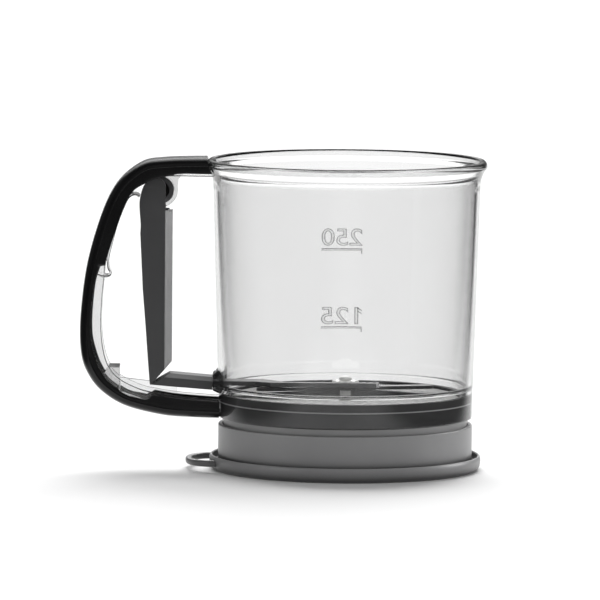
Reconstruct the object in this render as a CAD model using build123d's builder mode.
from build123d import *
import os
from math import pi, sin, cos, tan, acos, hypot, radians

os.makedirs("parts", exist_ok=True)

# Trigger-type flour sifter. Millimetres, +Z up. The origin is the centre of the
# base lid's bottom face, the cup axis is Z and the handle points to -X.
# Outlines on Plane.XZ hold (x, z) points, or (radius, z) points where revolved.

# ------------------------------------------------------------------ shared dimensions
# cup
CUP_FOOT_Z, CUP_FOOT_R = 20.9, 50.6    # outside of the clear wall's bottom edge
CUP_LOW_Z, CUP_LOW_R = 35.0, 50.95
CUP_HIGH_Z, CUP_HIGH_R = 112.0, 53.3
RIM_TOP_Z = 124.2

# handle cover and frame
COVER_HALF_W = 10.5
COVER_BACK_T = 2.0           # outer band
COVER_SIDE_T = 1.3           # side skirts
FIT = 0.05                   # cover to frame
FRAME_BACK_T = 1.5

# trigger and pull bar
PIVOT_X, PIVOT_Z = -74.4, 111.9
HINGE_X, HINGE_Z = -77.6, 34.1    # film hinge between trigger and pull bar
RIB_NOTCH_HALF_W = 1.5       # clears the guide rib

# rack and pinion
MODULE = 0.8
TEETH = 12
PRESSURE = radians(25.0)
PITCH_R = MODULE * TEETH / 2
ADDENDUM = 0.8 * MODULE
DEDENDUM = 1.0 * MODULE

# sieve and its hub
MESH_Z0, MESH_T, MESH_R = 29.2, 0.4, 46.85
MESH_TOP_Z = MESH_Z0 + MESH_T
PIN_R, BORE_R = 1.4, 1.45
TUBE_R = 3.0                 # pinion tube

COLLAR_R = 48.7              # retainer ring, outside


# ------------------------------------------------------------------ plane curve helpers
def smooth(points, steps=3):
    """Catmull-Rom resampling of a list of points in one plane."""
    out = []
    last = len(points) - 1
    for i in range(last):
        before, start = points[max(i - 1, 0)], points[i]
        end, after = points[i + 1], points[min(i + 2, last)]
        for k in range(steps):
            t = k / steps
            out.append(tuple(
                0.5 * (2 * b + (c - a) * t
                       + (2 * a - 5 * b + 4 * c - d) * t * t
                       + (3 * b - a - 3 * c + d) * t ** 3)
                for a, b, c, d in zip(before, start, end, after)))
    out.append(points[-1])
    return out


def inset(points, distance):
    """Points moved to the left of the direction of travel by a distance."""
    out = []
    last = len(points) - 1
    for i, (x, z) in enumerate(points):
        before, after = points[max(i - 1, 0)], points[min(i + 1, last)]
        dx, dz = after[0] - before[0], after[1] - before[1]
        length = hypot(dx, dz)
        out.append((x - dz / length * distance, z + dx / length * distance))
    return out


def mirrored(half):
    """Points from -x to the middle, continued to +x."""
    return half + [(-x, y) for x, y in reversed(half[:-1])]


# The next three draw a closed outline in the BuildLine block that calls them.
def draw_band(first, second):
    """Two splines that run the same way, joined at both ends."""
    a = Spline(*first)
    b = Spline(*second)
    Line(a @ 0, b @ 0)
    Line(a @ 1, b @ 1)


def draw_chorded(points):
    """A spline closed by a straight line."""
    curve = Spline(*points)
    Line(curve @ 1, curve @ 0)


def draw_leaf(first, second):
    """Two splines from -x to +x with short straight ends."""
    Spline(*first)
    Line(first[-1], second[-1])
    Spline(*reversed(second))
    Line(second[0], first[0])


# Outside of the handle in side view, from the top arm's root to the lower arm's.
HANDLE_OUT = smooth([
    (-44.0, 125.0), (-55.6, 124.9), (-64.5, 124.75), (-73.4, 124.3), (-80.8, 123.1),
    (-88.2, 118.2), (-93.4, 111.9), (-97.8, 102.2), (-102.3, 87.4), (-104.8, 74.0),
    (-106.2, 57.6), (-105.6, 45.7), (-103.0, 38.3), (-97.8, 31.6), (-88.2, 25.6),
    (-73.4, 21.9), (-62.0, 21.0), (-51.2, 20.7), (-44.0, 20.7)])

# ------------------------------------------------------------------ cup body
WALL = 2.0
LEDGE_TOP_Z, LEDGE_BOT_Z, LEDGE_R = 33.7, 30.9, 47.4
SEAT_R = 48.75               # bore that takes the sieve ring from below
CUT_OVER = 4.0               # how far the inside cut runs past the cup's ends

CUP_OUTER = [
    (CUP_FOOT_R - 1.0, CUP_FOOT_Z), (CUP_FOOT_R - 0.3, CUP_FOOT_Z + 0.3),
    (CUP_FOOT_R, CUP_FOOT_Z + 1.0), (CUP_LOW_R - 0.15, 32.9), (CUP_LOW_R, 33.2),
    (CUP_HIGH_R, CUP_HIGH_Z)]
RIM_CREST = (54.6, RIM_TOP_Z)
RIM_OUTER = [
    (CUP_HIGH_R, CUP_HIGH_Z), (53.55, 115.8), (54.4, 118.8), (55.2, 120.2), (56.0, 121.3),
    (56.1, 122.3), (55.6, 123.5), RIM_CREST]
RIM_INNER = [
    RIM_CREST, (53.5, 123.7), (52.6, 121.6), (51.8, 117.6), (CUP_HIGH_R - WALL, CUP_HIGH_Z)]
CUP_INNER = [
    (CUP_HIGH_R - WALL, CUP_HIGH_Z), (CUP_LOW_R - WALL, LEDGE_TOP_Z + 0.6),
    (CUP_LOW_R - WALL - 0.4, LEDGE_TOP_Z), (LEDGE_R + 0.2, LEDGE_TOP_Z),
    (LEDGE_R, LEDGE_TOP_Z - 0.2), (LEDGE_R, LEDGE_BOT_Z), (SEAT_R, LEDGE_BOT_Z),
    (SEAT_R, CUP_FOOT_Z + 0.3), (SEAT_R + 0.3, CUP_FOOT_Z)]

# Stroke figures, (x to the right, z up), 6.8 mm tall over the stroke.
ONE = [(1.1, 4.7), (2.9, 6.05), (2.9, 0.75)]
TWO = [
    (0.85, 4.6), (1.2, 5.5), (2.0, 6.0), (3.0, 6.0), (4.0, 5.4), (4.25, 4.5), (3.8, 3.5),
    (1.0, 0.75), (4.45, 0.75)]
FIVE = [
    (4.2, 6.05), (1.3, 6.05), (0.95, 3.55), (2.0, 4.0), (3.2, 3.85), (4.2, 3.1),
    (4.35, 2.2), (3.9, 1.2), (2.8, 0.75), (1.6, 0.85), (0.85, 1.6)]
ZERO = [
    (2.6, 6.05), (1.5, 5.6), (0.9, 4.5), (0.8, 3.4), (0.9, 2.3), (1.5, 1.2), (2.6, 0.75),
    (3.7, 1.2), (4.3, 2.3), (4.4, 3.4), (4.3, 4.5), (3.7, 5.6), (2.6, 6.05)]
DIGIT_STROKE, DIGIT_PITCH = 1.5, 5.9
DIGITS_X = -8.5              # left edge of the first figure
# measure line centre z, base z of its figures, figures
MARKS = [(51.8, 53.2, (ONE, TWO, FIVE)), (83.6, 85.2, (TWO, FIVE, ZERO))]
MARK_X = -1.6
MARK_W, MARK_H = 17.2, 0.9
MARK_TICK = 0.9              # width of the tick at the line's left end, twice as tall
MARK_OUT, MARK_ROOT = 0.45, 0.6    # raised above and sunk below the cup's outside

FRAME_HALF_W = COVER_HALF_W - COVER_SIDE_T - FIT
CHANNEL_HALF_W = 8.0
FRAME_IN = smooth([
    (-44.0, 117.5), (-55.6, 117.5), (-66.0, 117.6), (-70.4, 117.6), (-77.1, 117.3),
    (-81.2, 115.6), (-85.8, 112.2), (-89.8, 105.2), (-93.2, 94.6), (-95.8, 84.4),
    (-96.6, 76.2), (-97.3, 68.9), (-97.7, 57.6), (-96.7, 48.0), (-94.5, 41.4),
    (-90.4, 36.6), (-82.3, 32.6), (-74.9, 30.9), (-66.8, 29.7), (-52.0, 28.6),
    (-44.0, 28.4)])

BEARING_R_OUT, BEARING_R_IN, BEARING_HALF_W = 7.0, 5.46, 5.6
BEARING_HANGER = [(-67.4, PIVOT_Z), (-67.4, 121.7), (-80.2, 120.5), (-80.2, PIVOT_Z)]
BEARING_MOUTH = [
    (PIVOT_X, PIVOT_Z), (PIVOT_X - 16.0, PIVOT_Z + 4.4), (PIVOT_X - 16.0, PIVOT_Z - 16.0),
    (PIVOT_X + 0.4, PIVOT_Z - 16.0)]
TRAVEL_STOP = [(-90.2, 41.0), (-94.9, 41.0), (-97.6, 37.0), (-91.8, 31.2), (-90.2, 30.2)]
GUIDE_RIB = [(-90.3, 36.3), (-67.4, 33.6), (-67.4, 24.9), (-78.0, 26.2), (-90.3, 30.3)]
RIB_HALF_T = 0.9
SLOT_BOSS = [
    (-46.0, 40.6), (-51.1, 39.6), (-52.9, 37.6), (-52.9, 32.6), (-51.0, 31.4), (-46.0, 31.4)]
SLOT_HALF_W, SLOT_H, SLOT_Z, SLOT_CORNER_R = 5.5, 3.9, 35.05, 0.6
BOSS_SIDE_T = 1.9


def cup_body():
    """Tapered cup with flared rim, joined to the handle frame and its fittings."""
    with BuildPart() as body:
        # raised measure lines and figures on the +Y wall, read from the +Y side
        for line_z, base_z, figures in MARKS:
            with BuildSketch(Plane((MARK_X, 45.0, line_z), x_dir=(-1, 0, 0), z_dir=(0, 1, 0))):
                Rectangle(MARK_W, MARK_H)
                with Locations(((MARK_TICK - MARK_W) / 2, -MARK_TICK)):
                    Rectangle(MARK_TICK, 2 * MARK_TICK)
                for k, figure in enumerate(figures):
                    turns = [(x + DIGITS_X + DIGIT_PITCH * k, z + base_z - line_z)
                             for x, z in figure]
                    with BuildLine():
                        Polyline(*turns)
                    trace(line_width=DIGIT_STROKE)
                    with Locations(*turns[1:-1]):
                        Circle(DIGIT_STROKE / 2)
            extrude(amount=12.0)
        # keep only a thin skin of them round the cup's outside
        with BuildSketch(Plane.XZ):
            with BuildLine():
                Polyline((CUP_LOW_R - MARK_ROOT, CUP_LOW_Z), (CUP_LOW_R + MARK_OUT, CUP_LOW_Z),
                         (CUP_HIGH_R + MARK_OUT, CUP_HIGH_Z),
                         (CUP_HIGH_R - MARK_ROOT, CUP_HIGH_Z), close=True)
            make_face()
        revolve(axis=Axis.Z, mode=Mode.INTERSECT)
        # handle frame: a channel open towards the cup
        with BuildSketch(Plane.XZ):
            with BuildLine():
                draw_band(inset(HANDLE_OUT, COVER_BACK_T + FIT), FRAME_IN)
            make_face()
        extrude(amount=FRAME_HALF_W, both=True)
        with BuildSketch(Plane.XZ):
            with BuildLine():
                draw_chorded(inset(HANDLE_OUT, COVER_BACK_T + FIT + FRAME_BACK_T))
            make_face()
        extrude(amount=CHANNEL_HALF_W, both=True, mode=Mode.SUBTRACT)
        # C-shaped snap bearing for the trigger, hanging from the top arm
        with BuildSketch(Plane.XZ):
            with Locations((PIVOT_X, PIVOT_Z)):
                Circle(BEARING_R_OUT)
            with BuildLine():
                Polyline(*BEARING_HANGER, close=True)
            make_face()
            with Locations((PIVOT_X, PIVOT_Z)):
                Circle(BEARING_R_IN, mode=Mode.SUBTRACT)
            with BuildLine():
                Polyline(*BEARING_MOUTH, close=True)
            make_face(mode=Mode.SUBTRACT)
        extrude(amount=BEARING_HALF_W, both=True)
        # travel stop across the channel, guide rib that runs up inside the pull
        # bar, and boss round the pull-bar slot
        for outline, half_w in ((TRAVEL_STOP, CHANNEL_HALF_W + 0.1),
                                (GUIDE_RIB, RIB_HALF_T),
                                (SLOT_BOSS, SLOT_HALF_W + BOSS_SIDE_T)):
            with BuildSketch(Plane.XZ):
                with BuildLine():
                    Polyline(*outline, close=True)
                make_face()
            extrude(amount=half_w, both=True)
        # the cup's outer form
        with BuildSketch(Plane.XZ):
            with BuildLine():
                Polyline((0, CUP_FOOT_Z), *CUP_OUTER)
                Spline(*RIM_OUTER)
                Polyline(RIM_CREST, (0, RIM_TOP_Z), (0, CUP_FOOT_Z))
            make_face()
        revolve(axis=Axis.Z)
        # the cup's inside, which also trims the handle's roots
        top_z, bottom_z = RIM_TOP_Z + CUT_OVER, CUP_FOOT_Z - CUT_OVER
        with BuildSketch(Plane.XZ):
            with BuildLine():
                Polyline((0, top_z), (RIM_CREST[0], top_z), RIM_CREST)
                Spline(*RIM_INNER)
                Polyline(*CUP_INNER, (CUP_INNER[-1][0], bottom_z), (0, bottom_z), (0, top_z))
            make_face()
        revolve(axis=Axis.Z, mode=Mode.SUBTRACT)
        # slot for the pull bar
        with BuildSketch(Plane.YZ.offset(-60.0)):
            with Locations((0, SLOT_Z)):
                RectangleRounded(2 * SLOT_HALF_W, SLOT_H, SLOT_CORNER_R)
        extrude(amount=20.0, mode=Mode.SUBTRACT)
    return body.part


# ------------------------------------------------------------------ handle cover
# Inner edge of the side skirts: top arm, recessed grip, lower arm.
COVER_IN_TOP = smooth([
    (-44.0, 118.6), (-55.6, 118.6), (-66.0, 118.7), (-70.4, 117.9), (-77.1, 116.4),
    (-80.8, 114.5), (-85.2, 111.5), (-89.0, 104.8), (-92.6, 94.1), (-95.6, 84.4),
    (-96.0, 81.9)])
COVER_RECESS = smooth([
    (-98.6, 81.4), (-100.8, 72.5), (-101.9, 57.6), (-100.8, 48.0), (-96.4, 37.5),
    (-88.2, 30.6), (-79.6, 28.2)])
COVER_IN_LOW = smooth([(-76.4, 30.3), (-66.8, 28.8), (-52.0, 27.7), (-44.0, 27.5)])
COVER_EDGE_R = 1.7
# The cup's outside with a small gap, closed on the axis.
CUP_CLEARANCE = [
    (0, 10), (51.1, 10), (51.15, 34), (53.45, 112), (53.7, 115.6), (54.6, 118.6),
    (55.4, 120.0), (56.2, 121.0), (56.35, 122.3), (56.35, 132), (0, 132)]


def handle_cover():
    """Glossy outer shell, U-shaped in section, that wraps the frame from outside."""
    with BuildPart() as cover:
        with BuildSketch(Plane.XZ):
            with BuildLine():
                back = Spline(*HANDLE_OUT)
                top = Spline(*COVER_IN_TOP)
                recess = Spline(*COVER_RECESS)
                low = Spline(*COVER_IN_LOW)
                Line(back @ 0, top @ 0)
                Line(top @ 1, recess @ 0)
                Line(recess @ 1, low @ 0)
                Line(back @ 1, low @ 1)
            make_face()
        extrude(amount=COVER_HALF_W, both=True)
        # only the two edges along the back are this long
        long_edges = [e for e in cover.edges().filter_by(GeomType.BSPLINE)
                      if abs(abs((e @ 0.5).Y) - COVER_HALF_W) < 0.01 and e.length > 150]
        fillet(long_edges, COVER_EDGE_R)
        with BuildSketch(Plane.XZ):
            with BuildLine():
                draw_chorded(inset(HANDLE_OUT, COVER_BACK_T))
            make_face()
        extrude(amount=COVER_HALF_W - COVER_SIDE_T, both=True, mode=Mode.SUBTRACT)
        # ends follow the cup's round wall
        with BuildSketch(Plane.XZ):
            with BuildLine():
                Polyline(*CUP_CLEARANCE, close=True)
            make_face()
        revolve(axis=Axis.Z, mode=Mode.SUBTRACT)
    return cover.part


# ------------------------------------------------------------------ return spring
SPRING_T, SPRING_HALF_W = 0.9, 5.0
SPRING = smooth([
    (-82.95, 108.7), (-84.5, 109.5), (-86.6, 108.6), (-88.4, 105.4), (-91.2, 98.0),
    (-93.1, 91.0), (-94.6, 84.6), (-94.5, 80.6), (-93.6, 78.6), (-94.6, 76.9),
    (-97.0, 76.6), (-99.7, 77.4)])


def return_spring():
    """Clear leaf from the trigger's back down the handle, its foot on the channel's back."""
    with BuildPart() as spring:
        with BuildSketch(Plane.XZ):
            with BuildLine():
                draw_band(SPRING, inset(SPRING, -SPRING_T))
            make_face()
        extrude(amount=SPRING_HALF_W, both=True)
    return spring.part


# ------------------------------------------------------------------ trigger
TRIGGER_HALF_W, TRIGGER_WALL = 7.5, 1.6
TRIGGER_IN_HALF_W = TRIGGER_HALF_W - TRIGGER_WALL
TRIGGER_FRONT_X = -72.3      # cup side of the lever, behind the finger face
TRIGGER_HEEL = (HINGE_X - 0.05, HINGE_Z + 0.05)
TRIGGER_BACK = [
    (-78.0, 33.9), (-78.2, 34.6), (-79.0, 44.3), (-80.1, 59.2), (-81.2, 72.5), (-82.3, 95.0)]
TRIGGER_CROWN = [
    TRIGGER_BACK[-1], (-82.6, 104.0), (-82.5, 108.6), (-81.4, 112.2), (-79.6, 114.8),
    (-77.9, 116.1), (-76.4, 116.6), (-74.4, 116.4), (-72.9, 115.2), (TRIGGER_FRONT_X, 112.6)]
FINGER_Z0, FINGER_Z1 = 37.0, 103.8
FINGER_ROOT_X, FINGER_X = -74.0, -69.5
FINGER_HALF_W = TRIGGER_HALF_W - 3.0
HINGE_MITRE = [
    TRIGGER_HEEL, (-66.5, 46.5), (-60.0, 46.5), (-60.0, 30.0), (TRIGGER_HEEL[0], 30.0)]
TRIGGER_HOLLOW = [
    (-71.6, 103.0), (-71.6, 44.2), (-76.2, 38.6), (-92.0, 38.6), (-92.0, 125.0),
    (-68.0, 125.0), (-68.0, 103.9)]
WEB_Z = (60.0, 82.0)         # undersides of the stiffening webs
WEB_X, WEB_LENGTH, WEB_T = -75.3, 8.0, 1.4
JOIN = 0.2                   # overlap of webs and hub with the side walls
HUB_R_OUT, HUB_R_IN = 5.4, 3.6
HUB_WEB_R, HUB_WEB_HALF_T = 4.2, 1.2
TRIGGER_NOTCH = [(-92.0, 30.0), (-92.0, 38.6), (-76.0, 38.6), (-72.0, 40.0), (-72.0, 30.0)]


def trigger():
    """Finger lever, a channel open towards the handle, with a round hub across its top."""
    with BuildPart() as lever:
        with BuildSketch(Plane.XZ):
            with BuildLine():
                Spline(*TRIGGER_CROWN)
                Polyline(*TRIGGER_BACK)
                Polyline(TRIGGER_CROWN[-1], (TRIGGER_FRONT_X, 39.99), TRIGGER_HEEL,
                         TRIGGER_BACK[0])
            make_face()
        extrude(amount=TRIGGER_HALF_W, both=True)
        # finger face with sloping flanks
        with BuildSketch(Plane.XY.offset(FINGER_Z0)):
            with BuildLine():
                Polyline((FINGER_ROOT_X, -TRIGGER_HALF_W), (TRIGGER_FRONT_X, -TRIGGER_HALF_W),
                         (FINGER_X, -FINGER_HALF_W), (FINGER_X, FINGER_HALF_W),
                         (TRIGGER_FRONT_X, TRIGGER_HALF_W), (FINGER_ROOT_X, TRIGGER_HALF_W),
                         close=True)
            make_face()
        extrude(amount=FINGER_Z1 - FINGER_Z0)
        # mitre at the film hinge, then the hollow back
        for outline, half_w in ((HINGE_MITRE, 20.0), (TRIGGER_HOLLOW, TRIGGER_IN_HALF_W)):
            with BuildSketch(Plane.XZ):
                with BuildLine():
                    Polyline(*outline, close=True)
                make_face()
            extrude(amount=half_w, both=True, mode=Mode.SUBTRACT)
        # stiffening webs
        for z in WEB_Z:
            with BuildSketch(Plane.XY.offset(z)):
                with Locations((WEB_X, 0)):
                    Rectangle(WEB_LENGTH, 2 * (TRIGGER_IN_HALF_W + JOIN))
            extrude(amount=WEB_T)
        # pivot hub
        with BuildSketch(Plane.XZ):
            with Locations((PIVOT_X, PIVOT_Z)):
                Circle(HUB_R_OUT)
                Circle(HUB_R_IN, mode=Mode.SUBTRACT)
        extrude(amount=TRIGGER_IN_HALF_W + JOIN, both=True)
        # web that closes the hub's bore in its middle
        with BuildSketch(Plane.XZ):
            with Locations((PIVOT_X, PIVOT_Z)):
                Circle(HUB_WEB_R)
        extrude(amount=HUB_WEB_HALF_T, both=True)
        # notch that clears the guide rib
        with BuildSketch(Plane.XZ):
            with BuildLine():
                Polyline(*TRIGGER_NOTCH, close=True)
            make_face()
        extrude(amount=RIB_NOTCH_HALF_W, both=True, mode=Mode.SUBTRACT)
    return lever.part


# ------------------------------------------------------------------ pull bar
BAR_HALF_W, BAR_SIDE_T, BAR_CHAMFER = 6.5, 1.5, 1.6
BAR_SIDE = [
    (-77.45, 33.9), (-75.0, 35.55), (-70.2, 38.4), (-53.2, 37.0), (-53.2, 32.0),
    (-67.5, 33.05)]
BAR_HOLLOW = [(-71.4, 30.0), (-71.4, 36.0), (-69.6, 36.9), (-53.0, 35.55), (-53.0, 30.0)]
BAR_NOTCH = [(-79.0, 30.0), (-79.0, 36.4), (-70.0, 36.0), (-66.8, 34.6), (-66.8, 30.0)]
TONGUE_Z0, TONGUE_Z1 = 33.6, 35.4
TONGUE_END_X = 13.3
TONGUE_ROOT_X, TONGUE_HALF_W = -60.0, 5.0
TONGUE_SIDE_Y = -9.0         # -Y edge alongside the rack
RACK_THIN = 0.12             # taken off each flank of a rack tooth, square to X
RACK_ROOT_Y, RACK_TIP_Y = -PITCH_R - DEDENDUM, -PITCH_R + ADDENDUM


def rack_points():
    """(x, y) of seven teeth that point to +Y, from -X to +X."""
    pitch_half = pi * MODULE / 4 - RACK_THIN
    root_half = pitch_half + DEDENDUM * tan(PRESSURE)
    tip_half = pitch_half - ADDENDUM * tan(PRESSURE)
    points = []
    for i in range(-1, 6):
        x = i * pi * MODULE
        points += [(x - root_half, RACK_ROOT_Y), (x - tip_half, RACK_TIP_Y),
                   (x + tip_half, RACK_TIP_Y), (x + root_half, RACK_ROOT_Y)]
    return points


def pull_bar():
    """Channel-section link with a flat toothed tongue that enters the cup."""
    rack = rack_points()
    with BuildPart() as bar:
        with BuildSketch(Plane.XZ):
            with BuildLine():
                Polyline(*BAR_SIDE, close=True)
            make_face()
        extrude(amount=BAR_HALF_W, both=True)
        top_edges = [e for e in bar.edges().filter_by(GeomType.LINE)
                     if abs(abs((e @ 0.5).Y) - BAR_HALF_W) < 0.01
                     and (e @ 0.5).Z > 37 and e.length > 10]
        chamfer(top_edges, BAR_CHAMFER)
        with BuildSketch(Plane.XZ):
            with BuildLine():
                Polyline(*BAR_HOLLOW, close=True)
            make_face()
        extrude(amount=BAR_HALF_W - BAR_SIDE_T, both=True, mode=Mode.SUBTRACT)
        # tongue, running past the -Y side of the pinion
        with BuildSketch(Plane.XY.offset(TONGUE_Z0)):
            with BuildLine():
                Polyline((TONGUE_ROOT_X, -TONGUE_HALF_W), (-36.0, -TONGUE_HALF_W),
                         (-30.0, TONGUE_SIDE_Y), (TONGUE_END_X - 1.0, TONGUE_SIDE_Y),
                         (TONGUE_END_X, TONGUE_SIDE_Y + 1.0), (TONGUE_END_X, RACK_ROOT_Y),
                         rack[-1])
                Polyline(*reversed(rack))
                Polyline(rack[0], (-24.0, RACK_ROOT_Y), (-33.0, TONGUE_HALF_W),
                         (TONGUE_ROOT_X, TONGUE_HALF_W), (TONGUE_ROOT_X, -TONGUE_HALF_W))
            make_face()
        extrude(amount=TONGUE_Z1 - TONGUE_Z0)
        # notch that clears the guide rib
        with BuildSketch(Plane.XZ):
            with BuildLine():
                Polyline(*BAR_NOTCH, close=True)
            make_face()
        extrude(amount=RIB_NOTCH_HALF_W, both=True, mode=Mode.SUBTRACT)
    return bar.part


# ------------------------------------------------------------------ sieve
RING_TOP_Z = 30.8
RING_SECTION = [
    (47.4, 21.2), (48.6, 21.2), (48.7, 22.0), (48.7, 27.7), (48.3, 28.3),
    (48.3, RING_TOP_Z - 0.25), (48.0, RING_TOP_Z), (47.2, RING_TOP_Z),
    (46.9, RING_TOP_Z - 0.35), (46.9, MESH_Z0), (45.2, MESH_Z0), (45.2, 24.4),
    (47.3, 24.4), (47.3, 21.3)]
SPIDER_Z0, SPIDER_T = 25.4, 2.0
SPIDER_SPAN, SPIDER_ARM_W, SPIDER_HUB_R = 91.6, 2.4, 4.6
CLAMP_IN_R, CLAMP_T = 45.6, 1.2


def sieve_ring():
    """Dark ring with a shelf for the mesh and a four-armed spider for the hub pin."""
    with BuildPart() as ring:
        with BuildSketch(Plane.XZ):
            with BuildLine():
                Polyline(*RING_SECTION, close=True)
            make_face()
        revolve(axis=Axis.Z)
        with BuildSketch(Plane.XY.offset(SPIDER_Z0)):
            Rectangle(SPIDER_SPAN, SPIDER_ARM_W)
            Rectangle(SPIDER_ARM_W, SPIDER_SPAN)
            Circle(SPIDER_HUB_R)
        extrude(amount=SPIDER_T)
        with BuildSketch(Plane.XY.offset(SPIDER_Z0)):
            Circle(SPIDER_HUB_R)
        extrude(amount=MESH_Z0 - SPIDER_Z0)
        with BuildSketch(Plane.XY.offset(20.0)):
            Circle(BORE_R)
        extrude(amount=10.0, mode=Mode.SUBTRACT)
    return ring.part


def sieve_mesh():
    """Mesh as a plain disc with the pin's hole."""
    with BuildPart() as mesh:
        with BuildSketch(Plane.XY.offset(MESH_Z0)):
            Circle(MESH_R)
            Circle(BORE_R, mode=Mode.SUBTRACT)
        extrude(amount=MESH_T)
    return mesh.part


def mesh_clamp_ring():
    """Flat ring on top of the mesh's edge."""
    with BuildPart() as clamp:
        with BuildSketch(Plane.XY.offset(MESH_TOP_Z)):
            Circle(MESH_R)
            Circle(CLAMP_IN_R, mode=Mode.SUBTRACT)
        extrude(amount=CLAMP_T)
        chamfer(clamp.faces().sort_by(Axis.Z)[-1].edges(), 0.3)
    return clamp.part


# ------------------------------------------------------------------ retainer ring
RETAINER_SECTION = [
    (46.9, 8.6), (COLLAR_R - 0.4, 8.6), (COLLAR_R, 9.0), (COLLAR_R, 20.9),
    (COLLAR_R - 0.3, 21.15), (47.22, 21.15), (47.22, 23.9), (46.8, 24.3), (45.8, 24.3),
    (45.6, 24.0), (45.6, 19.5), (46.9, 18.0)]


def retainer_ring():
    """Collar whose tongue clips up inside the sieve ring; the base lid fits over it."""
    with BuildPart() as retainer:
        with BuildSketch(Plane.XZ):
            with BuildLine():
                Polyline(*RETAINER_SECTION, close=True)
            make_face()
        revolve(axis=Axis.Z)
    return retainer.part


# ------------------------------------------------------------------ hub pin and its clip
PIN_SECTION = [
    (0, 23.4), (PIN_R - 0.3, 23.4), (PIN_R, 23.7), (PIN_R, 35.75), (2.45, 35.75),
    (2.6, 35.95), (2.6, 36.2), (2.4, 36.75), (1.9, 37.1), (1.1, 37.3), (0, 37.35)]
CLIP_Z0, CLIP_T, CLIP_R = 24.3, 1.05, 3.4


def hub_pin():
    """Headed pin on the cup's axis."""
    with BuildPart() as pin:
        with BuildSketch(Plane.XZ):
            with BuildLine():
                Polyline(*PIN_SECTION, close=True)
            make_face()
        revolve(axis=Axis.Z)
    return pin.part


def pin_clip():
    """Washer-shaped clip round the pin, under the spider."""
    with BuildPart() as clip:
        with BuildSketch(Plane.XY.offset(CLIP_Z0)):
            Circle(CLIP_R)
            Circle(PIN_R, mode=Mode.SUBTRACT)
        extrude(amount=CLIP_T)
        chamfer(clip.edges().filter_by(GeomType.CIRCLE).group_by(SortBy.RADIUS)[-1], 0.25)
    return clip.part


# ------------------------------------------------------------------ pinion
GEAR_Z0, GEAR_Z1 = 33.5, 35.5
TUBE_Z0 = MESH_TOP_Z + 0.12
BLADE_SLOT_W, BLADE_SLOT_TOP_Z = 4.2, 31.9


def gear_points():
    """(x, y) of involute teeth, with a tooth gap centred on -Y."""
    base_r = PITCH_R * cos(PRESSURE)
    root_r = PITCH_R - DEDENDUM
    pitch_angle = pi / (2 * TEETH) + tan(PRESSURE) - PRESSURE
    flank = []               # (radius, half the tooth's angle there)
    for k in range(7):
        r = base_r + (PITCH_R + ADDENDUM - base_r) * k / 6
        roll = acos(base_r / r)
        flank.append((r, pitch_angle - (tan(roll) - roll)))
    flank.insert(0, (root_r, flank[0][1]))
    side = [(r, -half) for r, half in flank]
    tooth = side + flank[::-1]
    points = []
    for i in range(TEETH):
        centre = -pi / 2 + (i + 0.5) * 2 * pi / TEETH
        points += [(r * cos(centre + turn), r * sin(centre + turn)) for r, turn in tooth]
    return points


def pinion():
    """Gear over a plain tube that is slotted for the lower blade."""
    with BuildPart() as gear:
        with BuildSketch(Plane.XY.offset(GEAR_Z0)):
            with BuildLine():
                Polyline(*gear_points(), close=True)
            make_face()
        extrude(amount=GEAR_Z1 - GEAR_Z0)
        with BuildSketch(Plane.XY.offset(TUBE_Z0)):
            Circle(TUBE_R)
        extrude(amount=GEAR_Z0 - TUBE_Z0)
        with BuildSketch(Plane.XY.offset(28.0)):
            Circle(BORE_R)
        extrude(amount=10.0, mode=Mode.SUBTRACT)
        with BuildSketch(Plane.XY.offset(28.0)):
            Rectangle(8.0, BLADE_SLOT_W)
        extrude(amount=BLADE_SLOT_TOP_Z - 28.0, mode=Mode.SUBTRACT)
    return gear.part


# ------------------------------------------------------------------ agitator
BLADE_R, BLADE_HALF_W = 35.2, 2.08
BLADE_TOP = mirrored([(-BLADE_R, 30.35), (-24.0, 31.0), (-10.0, 31.75), (0, 31.88)])
BLADE_UNDER = mirrored([(-BLADE_R, 30.15), (-24.0, 29.95), (-10.0, 29.77), (0, 29.72)])
# (x, y) of the edge on the -Y side
BLADE_EDGE = mirrored([(-BLADE_R, -0.5), (-24.0, -1.5), (-8.0, -2.07), (0, -BLADE_HALF_W)])
ARM_R, ARM_W, ARM_T, ARM_Z0 = 36.2, 5.6, 1.3, 31.95
ARM_EYE_R = 4.6
ARM_YAW = radians(12.0)      # from the lower blade


def lower_blade():
    """Leaf-shaped scraper, deepest at the hub and tapering to each end."""
    with BuildPart() as blade:
        with BuildSketch(Plane.XZ):
            with BuildLine():
                draw_leaf(BLADE_TOP, BLADE_UNDER)
            make_face()
        extrude(amount=BLADE_HALF_W, both=True)
        # plan form
        with BuildSketch(Plane.XY.offset(28.5)):
            with BuildLine():
                draw_leaf(BLADE_EDGE, [(x, -y) for x, y in BLADE_EDGE])
            make_face()
        extrude(amount=4.5, mode=Mode.INTERSECT)
        with BuildSketch(Plane.XY.offset(28.0)):
            Circle(BORE_R)
        extrude(amount=6.0, mode=Mode.SUBTRACT)
    return blade.part


def upper_arm():
    """Flat two-ended sweeper with rounded ends, round the pinion's tube."""
    with BuildPart() as arm:
        with BuildSketch(Plane((0, 0, ARM_Z0), x_dir=(cos(ARM_YAW), sin(ARM_YAW), 0))):
            SlotOverall(2 * ARM_R, ARM_W)
            Circle(ARM_EYE_R)
            Circle(TUBE_R, mode=Mode.SUBTRACT)
        extrude(amount=ARM_T)
        chamfer(arm.faces().sort_by(Axis.Z)[-1].outer_wire().edges(), 0.45)
    return arm.part


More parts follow.
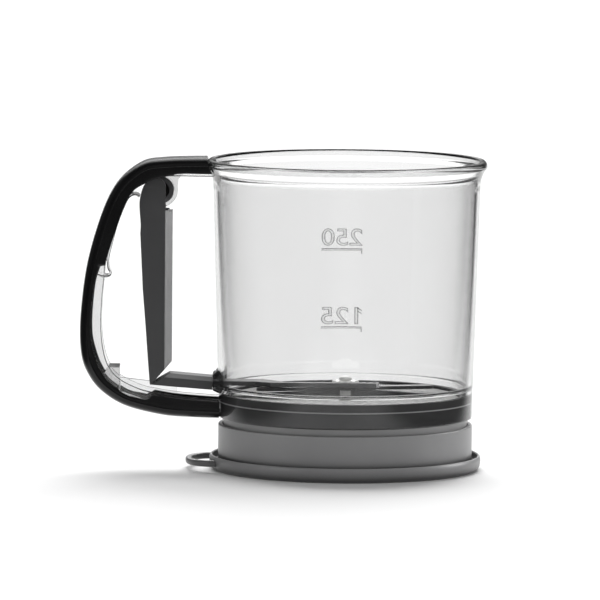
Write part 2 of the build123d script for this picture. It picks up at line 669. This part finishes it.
# ------------------------------------------------------------------ base lid
FLOOR_T = 1.8
LIP = [
    (51.9, 0.0), (53.4, 0.9), (54.15, 2.4), (54.3, 4.2), (54.1, 5.4), (53.6, 6.0),
    (52.95, 5.6), (52.75, 4.6), (52.7, 3.2)]
GROOVE_Z = LIP[-1][1]
SKIRT_R, SKIRT_IN_R, SKIRT_TOP_Z = 50.75, COLLAR_R + 0.2, 18.3
PULL_Z0, PULL_T, PULL_ROOT_X = 2.0, 2.6, -50.5
# half width at the root, x of the tip, mode
PULL_ARCS = [(16.0, -63.7, Mode.ADD), (13.2, -61.1, Mode.SUBTRACT)]


def base_lid():
    """Saucer with a rounded raised lip, a groove, a tall skirt and a D-shaped pull."""
    with BuildPart() as lid:
        with BuildSketch(Plane.XY.offset(PULL_Z0)):
            for half_w, tip_x, mode in PULL_ARCS:
                start, end = (PULL_ROOT_X, -half_w), (PULL_ROOT_X, half_w)
                with BuildLine():
                    ThreePointArc(start, (tip_x, 0.0), end)
                    Line(end, start)
                make_face(mode=mode)
        extrude(amount=PULL_T)
        fillet(lid.edges().filter_by(GeomType.CIRCLE), 0.9)
        with BuildSketch(Plane.XZ):
            with BuildLine():
                Polyline((0, 0.0), LIP[0])
                Spline(*LIP)
                Polyline(LIP[-1], (SKIRT_R, GROOVE_Z), (SKIRT_R, SKIRT_TOP_Z - 0.6),
                         (SKIRT_R - 0.3, SKIRT_TOP_Z), (SKIRT_IN_R + 0.4, SKIRT_TOP_Z),
                         (SKIRT_IN_R, SKIRT_TOP_Z - 0.4), (SKIRT_IN_R, FLOOR_T), (0, FLOOR_T),
                         (0, 0.0))
            make_face()
        revolve(axis=Axis.Z)
    return lid.part


# Each piece is named after the function that builds it.
for build in (cup_body, handle_cover, return_spring, trigger, pull_bar, sieve_ring,
              sieve_mesh, mesh_clamp_ring, retainer_ring, hub_pin, pin_clip, pinion,
              lower_blade, upper_arm, base_lid):
    piece = build()
    piece.label = build.__name__
    export_step(piece, f"parts/{piece.label}.step")
